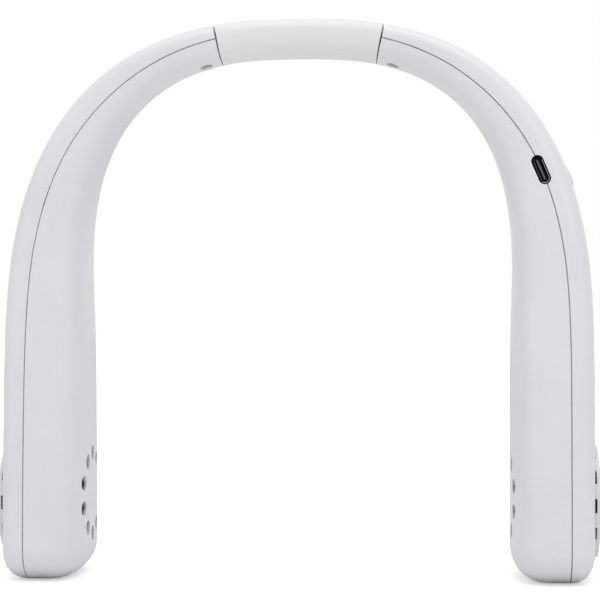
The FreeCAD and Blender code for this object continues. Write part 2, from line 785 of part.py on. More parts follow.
keep_pair("fan_scroll", common("fan_scroll", scroll_ring, lining))

divider_low = scroll_top + d.clearance
divider_blank = bind(doc.addObject("Part::Box", "divider_blank"), {
    "Length": leg_span, "Width": "sizes.divider_thickness"})
divider_blank.Height = d.divider_top - divider_low
divider_blank.Placement = PLACE(V(leg_in - d.overrun / 2, -d.divider_face, divider_low), TURN())
keep_pair("duct_divider", common("duct_divider", divider_blank, lining))

# Impeller and flat outer-rotor motor

hub = turned("hub", fan_place, [
    ("sizes.shaft_radius + sizes.snug", DISC_FLOOR),
    (HUB_BORE, DISC_FLOOR),
    (HUB_BORE, HUB_FLOOR),
    ("sizes.hub_radius", HUB_FLOOR),
    ("sizes.hub_radius", DISC_FLOOR),
    ("sizes.impeller_radius", DISC_FLOOR),
    ("sizes.impeller_radius", HUB_TOP),
    ("sizes.shaft_radius + sizes.snug", HUB_TOP)])
blades = []
for i in range(int(d.blade_count)):
    root = on_fan(leg_in + d.wall + d.impeller_lift, d.blade_root_radius, 360 * i / d.blade_count)
    lean = PLACE(V(0, 0, 0), TURN(Z_AXIS, d.blade_lean)) * PLACE(V(d.blade_length / 2, 0, 0), TURN())
    blades.append(box("blade_%d" % i, root * lean, "sizes.blade_length", "sizes.blade_thickness",
                      "sizes.impeller_width"))
keep_pair("impeller", fuse("impeller", [hub] + blades))
keep_pair("rotor_ring", turned("rotor_ring", fan_place, ring_outline(
    HUB_BORE + " - sizes.snug - sizes.magnet_thickness", HUB_BORE + " - sizes.snug",
    HUB_FLOOR, HUB_FLOOR + " + sizes.magnet_height")))
keep_pair("motor_shaft", turned("motor_shaft", fan_place, disc_outline(
    "sizes.shaft_radius", HUB_TOP + " - sizes.shaft_length", HUB_TOP)))
keep_pair("bearing_bush", turned("bearing_bush", fan_place, ring_outline(
    "sizes.shaft_radius + sizes.fit", "sizes.bush_radius",
    MOTOR_FLOOR, MOTOR_FLOOR + " + sizes.bush_length")))
keep_pair("motor_base", turned("motor_base", fan_place, ring_outline(
    "sizes.bush_radius + sizes.snug", "sizes.motor_base_radius", MOTOR_FLOOR, MOTOR_TOP)))
keep_pair("stator_core", turned("stator_core", fan_place, ring_outline(
    "sizes.bush_radius + sizes.snug", "sizes.stator_radius", CORE_FLOOR, CORE_TOP)))
keep_pair("stator_coils", group("stator_coils", [
    turned("coil_low", fan_place, ring_outline(
        "sizes.coil_root_radius", "sizes.coil_radius", COIL_FLOOR, CORE_FLOOR)),
    turned("coil_high", fan_place, ring_outline(
        "sizes.coil_root_radius", "sizes.coil_radius", CORE_TOP, CORE_TOP + " + sizes.coil_height"))]))

# Battery and wires

battery = bind(doc.addObject("Part::Box", "battery"), {
    "Length": "sizes.battery_thickness", "Width": "sizes.battery_width", "Height": "sizes.battery_length"})
battery.Placement = PLACE(V(d.spine_half_width - d.battery_thickness / 2,
                            -d.divider_face - d.battery_gap - d.battery_width, d.battery_bottom), TURN())
keep_pair("battery", battery)

battery_top = d.battery_bottom + d.battery_length
wire_start = d.seam_distance + d.pivot_offset
keep_pair("motor_lead", tube("motor_lead", motor_lead_points, d.wire_diameter))
link_points = [at_station(wire_start, 0, -d.wire_drop)]
for share, across, out in LINK_SHARES:
    station = ARCH_LENGTH * share
    link_points.append(at_station(station, across * half_depth(station), out * thickness(station)))
link_points.append(V(d.spine_half_width, battery_side, battery_top + d.battery_width / 2))
link_points.append(V(d.spine_half_width, battery_side, battery_top + d.clearance))
keep_pair("link_wire", tube("link_wire", link_points, d.wire_diameter))
bridge_path = Part.Arc(at_station(-wire_start, 0, -d.wire_drop), at_station(0, 0, -d.wire_drop),
                       at_station(wire_start, 0, -d.wire_drop))
bridge_start = bridge_path.value(bridge_path.FirstParameter)
bridge_heading = bridge_path.tangent(bridge_path.FirstParameter)[0]
bridge_ring = Part.Wire(Part.Circle(bridge_start, bridge_heading, d.wire_diameter / 2).toShape())
bridge_wire = doc.addObject("Part::Feature", "bridge_wire")
bridge_wire.Shape = Part.Wire(bridge_path.toShape()).makePipeShell([bridge_ring], True, False)
keep("bridge_wire", bridge_wire)

# Control board, socket and button of the right arm

board_level = parting_level(d.board_station) - d.socket_thickness / 2 - d.snug
board_low = board_level - d.board_thickness
board_middle = -d.board_near_edge + d.board_width / 2


def board_frame():
    """Placement on the parting line at the board's station: X along the line, Y through the U, Z outward."""
    ends = []
    for side in (-1, 1):
        station = d.board_station + side * d.socket_length / 2
        ends.append(at_station(station, 0, parting_level(station)))
    heading = ends[1] - ends[0]
    return PLACE((ends[0] + ends[1]) / 2, TURN(heading, Y_AXIS, heading.cross(Y_AXIS), "XYZ"))


BOARD_FRAME = board_frame()


def on_board(along, across, out):
    return BOARD_FRAME * PLACE(V(along, across, out - parting_level(d.board_station)), TURN())


def board_height(along, out):
    """Height above the board's zero level of a point of the arm beyond a place along the board."""
    station = d.board_station + along
    return (on_board(along, 0, 0).inverse() * frame(station, 0, 0, out * thickness(station))).Base.z


boss_places = [(-d.boss_spacing / 2, -d.boss_side), (d.boss_spacing / 2, -d.boss_side)]
bosses = []
boss_bores = []
board_bores = []
board_screws = []
for i, (along, across) in enumerate(boss_places):
    boss_floor = board_height(along, -SKIN_SHARE) + d.wall / 2
    bosses.append(bind(doc.addObject("Part::Cylinder", "boss_%d" % i), {"Radius": "sizes.boss_radius"}))
    bosses[-1].Height = board_low - d.snug - boss_floor
    bosses[-1].Placement = on_board(along, across, boss_floor)
    bore_floor = board_level - d.board_screw_length - d.snug
    boss_bores.append(rod("boss_bore_%d" % i, on_board(along, across, bore_floor),
                          "sizes.board_screw_radius + sizes.snug", "sizes.board_screw_length + sizes.snug"))
    board_bores.append(rod("board_bore_%d" % i, on_board(along, across, board_low - d.board_thickness),
                           "sizes.board_screw_radius + sizes.fit", "3 * sizes.board_thickness"))
    board_screws.append(turned("board_screw_%d" % i, along_arm_normal(on_board(along, across, board_level)), [
        ("0", "-sizes.board_screw_length"),
        ("sizes.board_screw_radius", "-sizes.board_screw_length"),
        ("sizes.board_screw_radius", "sizes.snug"),
        ("sizes.board_screw_head_radius", "sizes.snug"),
        ("sizes.board_screw_head_radius", "sizes.board_screw_head_height"),
        ("0", "sizes.board_screw_head_height")]))
keep("board_screws", group("board_screws", board_screws))
board_blank = box("board_blank", on_board(0, board_middle, board_low),
                  "sizes.board_length", "sizes.board_width", "sizes.board_thickness")
keep("control_board", cut("control_board", board_blank, group("board_bores", board_bores)))


def oblong(name, place, length, thickness_text, depth):
    """A slot-shaped block: wide along X, thin along Y, deep along Z."""
    straight = "(" + length + " - " + thickness_text + ")"
    middle = box(name + "_middle", place, straight, thickness_text, depth)
    ends = []
    for side in (-1, 1):
        shift = V(side * middle.Length.Value / 2, 0, 0)
        end_place = place * PLACE(shift, TURN())
        ends.append(rod(name + "_end_%d" % side, end_place, thickness_text + " / 2", depth))
    return fuse(name, [middle] + ends)


socket_level = parting_level(d.board_station)
socket_mouth = -half_depth(d.board_station) + d.socket_recess
into_arm = PLACE(V(0, 0, 0), TURN(X_AXIS, -90))
socket_place = on_board(0, socket_mouth, socket_level) * into_arm
socket_blank = oblong("socket_blank", socket_place, "sizes.socket_length", "sizes.socket_thickness",
                      "sizes.socket_depth")
bore_place = socket_place * PLACE(V(0, 0, -d.overrun), TURN())
socket_bore = oblong("socket_bore", bore_place,
                     "(sizes.socket_length - 2 * sizes.socket_wall)",
                     "(sizes.socket_thickness - 2 * sizes.socket_wall)",
                     "sizes.socket_depth + 2 * sizes.overrun")
keep("usb_shell", cut("usb_shell", socket_blank, socket_bore))
back_place = socket_place * PLACE(V(0, 0, d.socket_depth - d.tongue_back), TURN())
tongue_back = oblong("tongue_back", back_place,
                     "(sizes.socket_length - 2 * (sizes.socket_wall + sizes.snug))",
                     "(sizes.socket_thickness - 2 * (sizes.socket_wall + sizes.snug))", "sizes.tongue_back")
tongue_blade = box("tongue_blade",
                   socket_place * PLACE(V(0, 0, d.socket_depth - d.tongue_back - d.tongue_reach), TURN()),
                   "sizes.tongue_length", "sizes.tongue_thickness",
                   "sizes.tongue_reach + sizes.tongue_back / 2")
keep("usb_tongue", fuse("usb_tongue", [tongue_back, tongue_blade]))
socket_hole = oblong("socket_hole", bore_place,
                     "(sizes.socket_length + 2 * sizes.socket_hole_margin)",
                     "(sizes.socket_thickness + 2 * sizes.socket_hole_margin)",
                     "sizes.socket_depth + sizes.overrun")

switch_top = board_level + d.snug + d.switch_height
switch_body = box("switch_body", on_board(d.button_offset, 0, board_level + d.snug),
                  "sizes.switch_width", "sizes.switch_width", "sizes.switch_height")
switch_well = rod("switch_well", on_board(d.button_offset, 0, switch_top - d.plunger_well),
                  "sizes.plunger_radius + sizes.fit", "2 * sizes.plunger_well")
keep("tact_switch", cut("tact_switch", switch_body, switch_well))
plunger_low = switch_top - PLUNGER_SUNK_SHARE * d.plunger_well
plunger_top = switch_top + d.plunger_height
plunger = bind(doc.addObject("Part::Cylinder", "switch_plunger"), {"Radius": "sizes.plunger_radius"})
plunger.Height = plunger_top - plunger_low
plunger.Placement = on_board(d.button_offset, 0, plunger_low)
keep("switch_plunger", plunger)

button_station = d.board_station + d.button_offset
button_place = on_board(d.button_offset, 0, 0)
button_skin = board_height(d.button_offset, SKIN_SHARE)
proud_run = d.button_radius + d.overrun
proud_skin = loft("proud_skin", [button_station + proud_run * share for share in PROUD_SKIN_SHARES],
                  -d.button_proud)
flange_top = button_skin - d.wall - d.button_flange_drop
button_rod = rod("button_rod", button_place * PLACE(V(0, 0, flange_top), TURN()), "sizes.button_radius",
                 "sizes.wall + sizes.button_flange_drop + sizes.overrun")
button_cap = common("button_cap", button_rod, proud_skin)
button_flange = rod("button_flange", button_place * PLACE(V(0, 0, flange_top - d.button_flange), TURN()),
                    "sizes.button_flange_radius", "sizes.button_flange")
button_stem = bind(doc.addObject("Part::Cylinder", "button_stem"), {"Radius": "sizes.button_stem_radius"})
button_stem.Height = flange_top - plunger_top - d.snug
button_stem.Placement = on_board(d.button_offset, 0, plunger_top + d.snug)
keep("power_button", fuse("power_button", [button_cap, button_flange, button_stem]))
button_hole = rod("button_hole", button_place, "sizes.button_radius + sizes.button_gap",
                  "sizes.leg_thickness")

chips = []
for i, (along, across, long, wide) in enumerate(CHIP_SHARES):
    place = on_board(along * d.board_length, board_middle + across * d.board_width, board_level + d.snug)
    chips.append(box("chip_%d" % i, place, "sizes.board_length * %g" % long, "sizes.board_width * %g" % wide,
                     "sizes.board_thickness"))
keep("board_parts", group("board_parts", chips))
lead_start = d.board_station + d.board_length / 2 + d.clearance
lead_across = -half_depth(lead_start) * BATTERY_LEAD_SHARE
lead_turn = lead_start + d.battery_width / 2
battery_lead_points = [
    on_board(d.board_length / 2 + d.clearance, lead_across, board_low).Base,
    at_station(lead_turn, lead_across - d.wire_diameter, d.wire_diameter),
    V(d.spine_half_width + d.wire_diameter, lead_across - 2 * d.wire_diameter, battery_top + d.clearance)]
keep("battery_lead", tube("battery_lead", battery_lead_points, d.wire_diameter))

keep("right_outer_shell", cut("right_outer_shell", outer_seated,
                              group("outer_ports", [socket_hole, button_hole])))
inner_ported = cut("inner_ported", fuse("inner_bossed", [inner_holed] + bosses),
                   group("inner_ports", [socket_hole] + boss_bores))
keep("right_inner_shell", inner_ported)

doc.recompute()

# Every object is sound before anything is written
for item in doc.Objects:
    if "Invalid" in item.State or "Error" in item.State:
        raise RuntimeError("%s failed: %s" % (item.Name, item.State))
for label, item in nodes.items():
    if item.Shape.isNull() or not item.Shape.isValid() or not item.Shape.Solids:
        raise RuntimeError("%s has no sound shape" % label)

os.makedirs("parts", exist_ok=True)
for label, item in nodes.items():
    item.Shape.exportStep("parts/%s.step" % label)
    print("%s: %d solids, %.1f mm3" % (label, len(item.Shape.Solids), item.Shape.Volume))

# Places that the joints and mounts use
print("hinge axis through %.3f %.3f %.3f" % tuple(pivot))
print("button moves along %.5f %.5f %.5f" % tuple(-button_place.Rotation.multVec(Z_AXIS)))
print("socket mouth at %.3f %.3f %.3f" % tuple(socket_place.Base))
print("foot middle at %.3f" % (d.spine_half_width + (d.foot_inner_inset - d.foot_outer_inset) / 2))
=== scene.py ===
import json
import math

import bmesh
import bpy
import numpy as np
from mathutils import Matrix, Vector

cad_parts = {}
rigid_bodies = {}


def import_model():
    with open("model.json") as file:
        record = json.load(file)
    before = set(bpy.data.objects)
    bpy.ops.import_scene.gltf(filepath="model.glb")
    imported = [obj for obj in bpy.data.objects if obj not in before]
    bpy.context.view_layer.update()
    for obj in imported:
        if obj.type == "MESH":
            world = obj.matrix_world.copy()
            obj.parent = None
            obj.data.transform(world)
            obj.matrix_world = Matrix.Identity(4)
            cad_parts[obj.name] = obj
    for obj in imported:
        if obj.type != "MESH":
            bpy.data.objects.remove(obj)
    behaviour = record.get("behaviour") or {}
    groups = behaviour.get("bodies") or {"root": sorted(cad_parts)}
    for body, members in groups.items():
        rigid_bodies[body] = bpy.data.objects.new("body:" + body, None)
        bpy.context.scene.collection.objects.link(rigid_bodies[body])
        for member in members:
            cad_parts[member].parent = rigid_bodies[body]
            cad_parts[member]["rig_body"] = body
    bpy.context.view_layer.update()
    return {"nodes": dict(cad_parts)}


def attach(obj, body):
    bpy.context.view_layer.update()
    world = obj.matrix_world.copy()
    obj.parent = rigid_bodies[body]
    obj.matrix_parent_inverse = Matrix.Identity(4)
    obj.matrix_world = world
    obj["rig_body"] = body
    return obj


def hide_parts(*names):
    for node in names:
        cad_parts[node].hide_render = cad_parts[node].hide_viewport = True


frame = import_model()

MM = 0.001


# Camera at the photograph's angle, level with the middle of the legs and a little to the right

camera = bpy.data.objects.new("camera", bpy.data.cameras.new("camera"))
bpy.context.scene.collection.objects.link(camera)
bpy.context.scene.camera = camera
camera.location = (0.0416, -0.6386, 0.0874)
look_at = Vector((0.0, 0.0, 0.0874))
camera.rotation_euler = (look_at - camera.location).to_track_quat("-Z", "Y").to_euler()
camera.data.sensor_width = 36.0
camera.data.lens = 121.0
camera.data.clip_start = 0.01
camera.data.clip_end = 50.0


# Finishes


def linear(shade):
    """Linear colour of an sRGB hex value."""
    parts = [int(shade[i:i + 2], 16) / 255 for i in (1, 3, 5)]
    return [c / 12.92 if c <= 0.04045 else ((c + 0.055) / 1.055) ** 2.4 for c in parts] + [1.0]


def add(tree, kind, inputs=None, **settings):
    """Adds a node: settings are its properties, inputs are values or the sockets they come from."""
    made = tree.nodes.new(kind)
    for name, value in settings.items():
        setattr(made, name, value)
    for name, value in (inputs or {}).items():
        if isinstance(value, bpy.types.NodeSocket):
            tree.links.new(value, made.inputs[name])
        else:
            made.inputs[name].default_value = value
    return made


def new_finish(name, roughness, metallic=0.0, ior=None):
    """A material with its shader, ready for a colour and a surface, and its object coordinates."""
    finish = bpy.data.materials.new(name)
    finish.use_nodes = True
    tree = finish.node_tree
    shader = tree.nodes["Principled BSDF"]
    shader.inputs["Roughness"].default_value = roughness
    shader.inputs["Metallic"].default_value = metallic
    if ior:
        shader.inputs["IOR"].default_value = ior
    place = add(tree, "ShaderNodeTexCoord").outputs["Object"]
    return finish, tree, shader, place


# Noise runs from about 0.3 to 0.7, and its shades and gloss are spread over that
PATTERN_LOW, PATTERN_HIGH = 0.3, 0.7


def work_surface(tree, shader, colour, shades, shine, roughness, height, depth_mm, strength):
    """Colours a surface between two shades, and varies its gloss and its height, each after a pattern."""
    ramp = add(tree, "ShaderNodeValToRGB", {"Fac": colour})
    for stop, position, shade in zip(ramp.color_ramp.elements, (PATTERN_LOW, PATTERN_HIGH), shades):
        stop.position = position
        stop.color = linear(shade)
    spread = add(tree, "ShaderNodeMapRange",
                 {"Value": shine, "From Min": PATTERN_LOW, "From Max": PATTERN_HIGH,
                  "To Min": roughness[0], "To Max": roughness[1]})
    bump = add(tree, "ShaderNodeBump", {"Height": height, "Distance": depth_mm * MM, "Strength": strength})
    tree.links.new(ramp.outputs["Color"], shader.inputs["Base Color"])
    tree.links.new(spread.outputs["Result"], shader.inputs["Roughness"])
    tree.links.new(bump.outputs["Normal"], shader.inputs["Normal"])


def moulded(name, dark, pale, roughness, ior, grain_mm, grain_depth, cloud_mm=22.0):
    """Moulded plastic: a fine spark-eroded grain, slow clouding of the colour, uneven satin gloss."""
    finish, tree, shader, place = new_finish(name, roughness, ior=ior)
    cloud = add(tree, "ShaderNodeTexNoise", {"Vector": place, "Scale": 1 / (cloud_mm * MM), "Detail": 3.0,
                                             "Roughness": 0.55})
    grain = add(tree, "ShaderNodeTexNoise", {"Vector": place, "Scale": 1 / (grain_mm * MM), "Detail": 2.0,
                                             "Roughness": 0.6})
    work_surface(tree, shader, cloud.outputs["Fac"], (dark, pale), grain.outputs["Fac"],
                 (roughness - 0.05, roughness + 0.07), grain.outputs["Fac"], grain_depth, 0.25)
    return finish


# ABS shells: satin white with a cool cast. The real grain is about 0.2 mm, drawn at 0.7 mm so that it shows.
shell_abs = moulded("abs_satin_white", "#e3e1e4", "#e7e5e8", roughness=0.33, ior=1.5, grain_mm=0.7,
                    grain_depth=0.01)
# Bridge sleeve: soft-touch white, a little duller and warmer than the shells
bridge_soft = moulded("soft_touch_white", "#e6e4e5", "#eae8e9", roughness=0.5, ior=1.47, grain_mm=0.6,
                      grain_depth=0.015)
# Power button: the same ABS polished by the finger
button_abs = moulded("abs_polished_white", "#e3e3e6", "#e8e8ea", roughness=0.33, ior=1.5, grain_mm=0.8,
                     grain_depth=0.01, cloud_mm=4.0)
# Inside mouldings: plain white ABS straight from the tool, dull and a little grey
inner_abs = moulded("abs_plain_white", "#cfcfd0", "#d8d8d9", roughness=0.55, ior=1.5, grain_mm=0.9,
                    grain_depth=0.03)
# Fan wheel: grey glass-filled nylon, with pale fibres just under the skin
fan_nylon = moulded("glass_filled_nylon_grey", "#4a4c50", "#5b5d61", roughness=0.5, ior=1.53, grain_mm=0.5,
                    grain_depth=0.03, cloud_mm=3.0)
# Socket tongue, switch and chips: black liquid-crystal polymer, dense and dull
black_polymer = moulded("polymer_black", "#0b0b0c", "#141415", roughness=0.45, ior=1.6, grain_mm=0.4,
                        grain_depth=0.01, cloud_mm=2.0)
# Screw plugs: grey silicone rubber with a dusty bloom
plug_rubber = moulded("silicone_rubber_grey", "#9a9b9d", "#a6a7a9", roughness=0.7, ior=1.41, grain_mm=0.5,
                      grain_depth=0.02, cloud_mm=2.5)
# Wire sleeves: extruded black silicone, soft and dull
wire_rubber = moulded("silicone_wire_black", "#161617", "#222224", roughness=0.6, ior=1.41, grain_mm=0.4,
                      grain_depth=0.02, cloud_mm=3.0)


def turned_cover(name, dark, pale):
    """ABS with fine rings about the cover's axis, as a turned mould insert leaves them."""
    height_mm, ring_mm, cloud_mm = 24.3, 0.9, 12.0
    finish, tree, shader, place = new_finish(name, 0.4, ior=1.5)
    centred = add(tree, "ShaderNodeMapping", {"Vector": place, "Location": (0.0, 0.0, -height_mm * MM)})
    # At a scale of 1 the rings of a wave texture lie pi / 10 apart
    rings = add(tree, "ShaderNodeTexWave", {"Vector": centred.outputs["Vector"],
                                            "Scale": math.pi / 10 / (ring_mm * MM), "Distortion": 0.0},
                wave_type="RINGS", rings_direction="X")
    cloud = add(tree, "ShaderNodeTexNoise", {"Vector": place, "Scale": 1 / (cloud_mm * MM), "Detail": 3.0})
    work_surface(tree, shader, cloud.outputs["Fac"], (dark, pale), cloud.outputs["Fac"], (0.36, 0.46),
                 rings.outputs["Fac"], 0.02, 0.35)
    return finish


# Intake covers: satin white ABS, whose fine rings catch the light round the middle
cover_abs = turned_cover("abs_turned_white", "#e2e0e4", "#e6e4e8")


def metal(name, dark, pale, roughness, streak):
    """Bare metal with fine drawing marks, stretched along one axis."""
    finish, tree, shader, place = new_finish(name, roughness, metallic=1.0)
    mark_mm = 0.3
    drawn = add(tree, "ShaderNodeMapping", {"Vector": place, "Scale": streak})
    marks = add(tree, "ShaderNodeTexNoise", {"Vector": drawn.outputs["Vector"], "Scale": 1 / (mark_mm * MM),
                                             "Detail": 3.0})
    work_surface(tree, shader, marks.outputs["Fac"], (dark, pale), marks.outputs["Fac"],
                 (roughness - 0.08, roughness + 0.1), marks.outputs["Fac"], 0.005, 0.3)
    return finish


# Screws, pins and shafts: bright drawn steel, with fine marks along it
steel = metal("steel_bright_drawn", "#a9abae", "#c9cbce", roughness=0.28, streak=(1.0, 0.1, 1.0))
# Socket shell: steel plated with black nickel, a dark rim; its bright edge is a painted highlight of bright
# steel faces on the inner lip, set below
black_nickel = metal("steel_black_nickel", "#0d0d0e", "#17171a", roughness=0.3, streak=(1.0, 0.1, 1.0))
# Core plate of the socket's tongue: stamped stainless steel, grey from the press
plate_steel = metal("steel_stamped_grey", "#606164", "#6e6f72", roughness=0.35, streak=(1.0, 0.1, 1.0))
# Magnet ring and laminated core: dark steel, coated against rust, even and dull
core_steel = metal("steel_laminated_dark", "#3c3d40", "#55575b", roughness=0.45, streak=(0.12, 1.0, 1.0))
# Bearing bush: sintered brass, porous and a matt yellow
brass = metal("brass_sintered", "#a98a4c", "#c7a868", roughness=0.42, streak=(1.0, 1.0, 1.0))
# Windings: enamelled copper wire in layers, red-brown with a soft sheen
copper = metal("copper_enamelled", "#8a4a22", "#b8672f", roughness=0.35, streak=(0.15, 1.0, 1.0))
# Battery: aluminium pouch foil, slightly crumpled, pale and silvery
foil = metal("aluminium_pouch_foil", "#9fa2a6", "#bcbfc3", roughness=0.38, streak=(0.3, 0.3, 0.3))
# Board: green solder mask over copper tracks, glossy and mottled
board_mask = moulded("solder_mask_green", "#0d3d22", "#14512f", roughness=0.3, ior=1.5, grain_mm=0.9,
                     grain_depth=0.03, cloud_mm=2.0)


# Skin of the arms and the bridge in millimetres, as the solids have it: a superellipse section on a
# superellipse arch. Its true normals let light run over the shells without the facets of their meshes.

HALF_WIDTH, RISE, SPRING, ARCH_POWER = 79.15, 88.5, 81.7, 2.6
FOOT_HEIGHT, FOOT_OUTER, FOOT_INNER, FOOT_DEPTH = 10.0, 6.0, 9.5, 14.0
# Each of these runs from its value at the bridge to its value at the leg
WIDTH_TOP, WIDTH_LEG, WIDTH_START, WIDTH_RUN = 12.4, 25.6, 20.0, 136.0
DEPTH_TOP, DEPTH_LEG, DEPTH_START, DEPTH_RUN = 8.7, 24.2, 9.2, 196.0
OUTER_POWERS, INNER_POWERS, POWER_START, POWER_RUN = (3.0, 6.0), (2.8, 3.0), 9.2, 136.0
# A corner takes the skin's normal this near to it, within this angle, and above the flat of the foot
SKIN_NEAR, SKIN_ANGLE, FLAT_TOP = 0.06, 25.0, 0.6
ARCH_POINTS, LEG_POINTS, BATCH = 2001, 400, 4000
steps = np.linspace(0.0, math.pi / 2, ARCH_POINTS)
arch_x = np.append(HALF_WIDTH * np.sin(steps) ** (2 / ARCH_POWER), HALF_WIDTH)
arch_z = np.append(SPRING + RISE * np.maximum(np.cos(steps), 0.0) ** (2 / ARCH_POWER), 0.0)
stations = np.append(0.0, np.cumsum(np.hypot(np.diff(arch_x), np.diff(arch_z))))
arch_turn = np.arctan2((arch_x / HALF_WIDTH) ** (ARCH_POWER - 1) / HALF_WIDTH,
                       (np.maximum(arch_z - SPRING, 0.0) / RISE) ** (ARCH_POWER - 1) / RISE)


def eased(low, high, start, run, station):
    """A size that goes smoothly from low to high along the arch."""
    share = np.clip((station - start) / run, 0.0, 1.0)
    return low + (high - low) * share * share * (3 - 2 * share)


def skin_level(station, out, across):
    """Below 0 inside the skin and above 0 outside it."""
    half = eased(WIDTH_TOP, WIDTH_LEG, WIDTH_START, WIDTH_RUN, station) / 2
    drop = np.clip(1 - (stations[-1] - station) / FOOT_HEIGHT, 0.0, 1.0)
    drawn_in = 1 - np.sqrt(np.maximum(1 - drop * drop, 0.0))
    outer = out > 0
    size = half - np.where(outer, FOOT_OUTER, FOOT_INNER) * drawn_in
    depth = eased(DEPTH_TOP, DEPTH_LEG, DEPTH_START, DEPTH_RUN, station) - FOOT_DEPTH * drawn_in
    power = np.where(outer, eased(*OUTER_POWERS, POWER_START, POWER_RUN, station),
                     eased(*INNER_POWERS, POWER_START, POWER_RUN, station))
    return (np.abs(out) / size) ** power + (np.abs(across) / depth) ** power - 1


def skin_normals(points):
    """Normals of the skin through points in millimetres, and how far the points lie from it."""
    side = np.where(points[:, 0] < 0, -1.0, 1.0)
    x, across, z = points[:, 0] * side, points[:, 1], points[:, 2]
    leg = np.linspace(SPRING, 0.0, LEG_POINTS)
    table_x = np.append(arch_x[:-1], np.full(LEG_POINTS, HALF_WIDTH))
    table_z = np.append(arch_z[:-1], leg)
    table_s = np.append(stations[:-1], stations[-2] + SPRING - leg)
    station = np.empty(len(points))
    for start in range(0, len(points), BATCH):
        part = slice(start, start + BATCH)
        gap = (x[part, None] - table_x) ** 2 + (z[part, None] - table_z) ** 2
        station[part] = table_s[np.argmin(gap, axis=1)]
    for _ in range(3):
        # Each pass moves the station nearer to the section that the point lies in
        turn = np.interp(station, stations, arch_turn)
        along = ((x - np.interp(station, stations, arch_x)) * np.cos(turn)
                 - (z - np.interp(station, stations, arch_z)) * np.sin(turn))
        station = np.clip(station + 0.8 * along, 0.0, stations[-1])
    turn = np.interp(station, stations, arch_turn)
    bend = np.interp(station + 0.5, stations, arch_turn) - np.interp(station - 0.5, stations, arch_turn)
    out = ((x - np.interp(station, stations, arch_x)) * np.sin(turn)
           + (z - np.interp(station, stations, arch_z)) * np.cos(turn))
    step = 0.01
    d_out = skin_level(station, out + step, across) - skin_level(station, out - step, across)
    d_across = skin_level(station, out, across + step) - skin_level(station, out, across - step)
    d_along = skin_level(station + step, out, across) - skin_level(station - step, out, across)
    d_along = d_along / (1 + bend * out)
    normals = np.stack([side * (d_out * np.sin(turn) + d_along * np.cos(turn)), d_across,
                        d_out * np.cos(turn) - d_along * np.sin(turn)], 1) / (2 * step)
    steep = np.linalg.norm(normals, axis=1)
    normals /= np.maximum(steep, 1e-9)[:, None]
    return normals, skin_level(station, out, across) / np.maximum(steep, 1e-9)


def light_as_skin(mesh):
    """Gives the corners that lie on the skin its true normals. The flat under the feet keeps its own."""
    points = np.empty(len(mesh.vertices) * 3)
    mesh.vertices.foreach_get("co", points)
    points = points.reshape(-1, 3) / MM
    true_normals, away = skin_normals(points)
    corner_point = np.empty(len(mesh.loops), int)
    mesh.loops.foreach_get("vertex_index", corner_point)
    corner_normal = np.empty(len(mesh.loops) * 3)
    mesh.corner_normals.foreach_get("vector", corner_normal)
    corner_normal = corner_normal.reshape(-1, 3)
    face_normal = np.empty(len(mesh.polygons) * 3)
    mesh.polygons.foreach_get("normal", face_normal)
    corner_face = np.repeat(face_normal.reshape(-1, 3), 3, axis=0)
    wanted = true_normals[corner_point]
    on_skin = (np.abs(away) < SKIN_NEAR)[corner_point] & (points[:, 2] > FLAT_TOP)[corner_point]
    on_skin &= np.sum(wanted * corner_face, 1) > math.cos(math.radians(SKIN_ANGLE))
    corner_normal[on_skin] = wanted[on_skin]
    mesh.normals_split_custom_set(corner_normal.tolist())


# Pieces: each solid gets a welded, smooth copy

WELD_MM, FLAT_DEGREES, RIM_SEGMENTS = 0.001, 1.0, 3


def dressed(name, finish, crease=30.0, skin=False, rim=0.0):
    """Stands for a solid with a welded copy of its mesh in a finish. A rim rounds its sharp edges."""
    solid = frame["nodes"][name]
    mesh = solid.data.copy()
    mesh.name = name + "_skin"
    form = bmesh.new()
    form.from_mesh(mesh)
    bmesh.ops.remove_doubles(form, verts=form.verts, dist=WELD_MM * MM)
    if rim:
        bmesh.ops.dissolve_limit(form, angle_limit=math.radians(FLAT_DEGREES), verts=form.verts,
                                 edges=form.edges)
        sharp = [e for e in form.edges
                 if len(e.link_faces) == 2 and e.calc_face_angle() > math.radians(crease)]
        bmesh.ops.bevel(form, geom=sharp, offset=rim * MM, offset_type="OFFSET", segments=RIM_SEGMENTS,
                        profile=0.5, affect="EDGES", material=-1, clamp_overlap=True)
    bmesh.ops.triangulate(form, faces=form.faces)
    form.to_mesh(mesh)
    form.free()
    mesh.materials.clear()
    mesh.materials.append(finish)
    mesh.shade_smooth()
    mesh.set_sharp_from_angle(angle=math.radians(crease))
    if skin:
        light_as_skin(mesh)
    piece = bpy.data.objects.new(name + "_piece", mesh)
    bpy.context.scene.collection.objects.link(piece)
    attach(piece, solid["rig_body"])
    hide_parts(name)
    return piece


dressed("bridge_sleeve", bridge_soft, skin=True)
dressed("bridge_wire", wire_rubber)
for side in ("left_", "right_"):
    dressed(side + "outer_shell", shell_abs, skin=True)
    dressed(side + "inner_shell", shell_abs, skin=True)
    dressed(side + "intake_cover", cover_abs, rim=0.2)
    dressed(side + "screw_plugs", plug_rubber, skin=True)
    dressed(side + "hinge_block", inner_abs)
    dressed(side + "fan_scroll", inner_abs)
    dressed(side + "duct_divider", inner_abs)
    dressed(side + "motor_base", inner_abs)
    dressed(side + "impeller", fan_nylon)
    dressed(side + "hinge_pin", steel)
    dressed(side + "shell_screws", steel)
    dressed(side + "motor_shaft", steel)
    dressed(side + "rotor_ring", core_steel)
    dressed(side + "stator_core", core_steel)
    dressed(side + "stator_coils", copper)
    dressed(side + "bearing_bush", brass)
    dressed(side + "battery", foil)
    dressed(side + "motor_lead", wire_rubber)
    dressed(side + "link_wire", wire_rubber)
dressed("battery_lead", wire_rubber)
dressed("control_board", board_mask)
dressed("board_parts", black_polymer)
dressed("board_screws", steel)
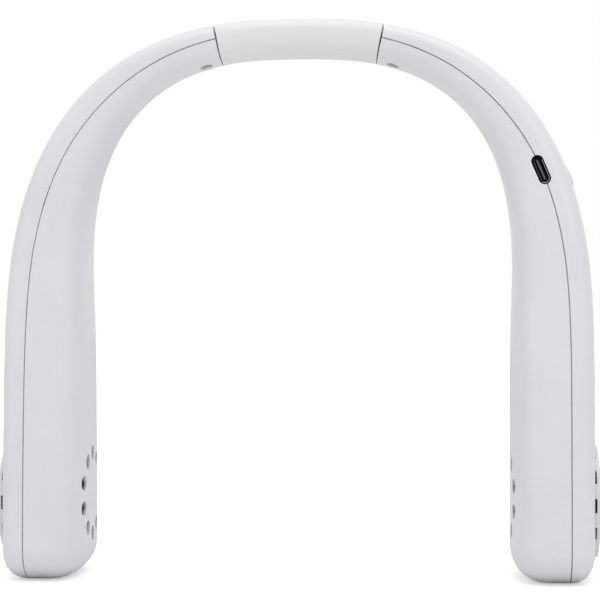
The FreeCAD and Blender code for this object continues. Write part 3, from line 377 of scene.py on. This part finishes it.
socket = dressed("usb_shell", black_nickel, rim=0.2)
tongue = dressed("usb_tongue", black_polymer, rim=0.2)
dressed("tact_switch", black_polymer)
dressed("switch_plunger", black_polymer)
dressed("power_button", button_abs, rim=0.25)

# Charging socket: the bright steel on the outer side of the inner lip is a painted highlight, the line of
# light that the lip reflects, and the tongue's core plate, bare metal, shows along the middle of its end
MOUTH = Vector((75.312, -14.458, 127.529)) * MM
LIP_DEPTH, LIP_SIDE, FACING_IN, FACING_OUT = 0.25 * MM, 0.3 * MM, -0.02, 0.95
socket_middle = sum((v.co for v in socket.data.vertices), Vector()) / len(socket.data.vertices)
socket_axis = (MOUTH - socket_middle).normalized()
socket.data.materials.append(steel)
for face in socket.data.polygons:
    reach = face.center - MOUTH
    # Faces that carry the painted highlight: the inner lip at the mouth, on its outer side, facing inwards
    lip_highlight_face = abs(reach.dot(socket_axis)) < LIP_DEPTH and reach.x > LIP_SIDE
    if lip_highlight_face and face.normal.dot(reach) < FACING_IN * reach.length:
        face.material_index = 1
tongue.data.materials.append(plate_steel)
for face in tongue.data.polygons:
    if face.normal.dot(socket_axis) > FACING_OUT:
        face.material_index = 1


# Floor and soft studio light. The paper floor glows to the camera, less so near the part, to keep its shadow.

FLOOR_HALF, GLOW_NEAR, GLOW_FAR = 4.0, 0.12, 0.6
floor_mesh = bpy.data.meshes.new("floor")
floor_form = bmesh.new()
bmesh.ops.create_grid(floor_form, x_segments=1, y_segments=1, size=FLOOR_HALF)
floor_form.to_mesh(floor_mesh)
floor_form.free()
floor = bpy.data.objects.new("floor", floor_mesh)
bpy.context.scene.collection.objects.link(floor)
paper, paper_tree, paper_shader, paper_place = new_finish("paper_matt_white", 0.9, ior=1.3)
paper_shader.inputs["Base Color"].default_value = linear("#f2f2f2")
paper_shader.inputs["Emission Color"].default_value = (1.0, 1.0, 1.0, 1.0)
paper_rays = add(paper_tree, "ShaderNodeLightPath")
paper_reach = add(paper_tree, "ShaderNodeVectorMath", {0: paper_place}, operation="LENGTH")
paper_glow = add(paper_tree, "ShaderNodeMapRange",
                 {"Value": paper_reach.outputs["Value"], "From Min": GLOW_NEAR, "From Max": GLOW_FAR,
                  "To Min": 0.4, "To Max": 0.85})
paper_lift = add(paper_tree, "ShaderNodeMath", {0: paper_rays.outputs["Is Camera Ray"],
                                                1: paper_glow.outputs["Result"]}, operation="MULTIPLY")
paper_tree.links.new(paper_lift.outputs["Value"], paper_shader.inputs["Emission Strength"])
floor_mesh.materials.append(paper)

world = bpy.data.worlds.new("studio")
bpy.context.scene.world = world
world.use_nodes = True
sky = world.node_tree
room = sky.nodes["Background"]
room.inputs["Color"].default_value = (0.97, 0.985, 1.0, 1.0)
room.inputs["Strength"].default_value = 0.625
sky_rays = add(sky, "ShaderNodeLightPath")
seen = add(sky, "ShaderNodeMath", {0: sky_rays.outputs["Is Camera Ray"],
                                   1: sky_rays.outputs["Is Transmission Ray"]}, operation="MAXIMUM")
mirrored = add(sky, "ShaderNodeMath", {0: seen.outputs["Value"], 1: sky_rays.outputs["Is Glossy Ray"]},
               operation="MAXIMUM")
backdrop = add(sky, "ShaderNodeBackground", {"Color": (1.0, 1.0, 1.0, 1.0), "Strength": 1.0})
either = add(sky, "ShaderNodeMixShader", {0: mirrored.outputs["Value"], 1: room.outputs["Background"],
                                          2: backdrop.outputs["Background"]})
sky.links.new(either.outputs["Shader"], sky.nodes["World Output"].inputs["Surface"])


LIT_POINT = Vector((0.0, 0.0, 0.1))


def softbox(name, place, width, height, power):
    """A white area lamp that faces the middle of the part."""
    lamp = bpy.data.lights.new(name, "AREA")
    lamp.shape = "RECTANGLE"
    lamp.size = width
    lamp.size_y = height
    lamp.energy = power
    holder = bpy.data.objects.new(name, lamp)
    holder.location = place
    holder.rotation_euler = (LIT_POINT - Vector(place)).to_track_quat("-Z", "Y").to_euler()
    bpy.context.scene.collection.objects.link(holder)


softbox("overhead", (0.1, -0.2, 1.3), width=1.2, height=1.2, power=7.1)
softbox("front_left", (-1.0, -0.9, 0.4), width=0.8, height=1.0, power=1.2)
# The small lamp draws the soft streak along the outer shell of the right arm
softbox("front_right", (0.58, -0.92, 0.66), width=0.15, height=0.15, power=0.98)

bpy.context.scene.view_settings.view_transform = "Standard"
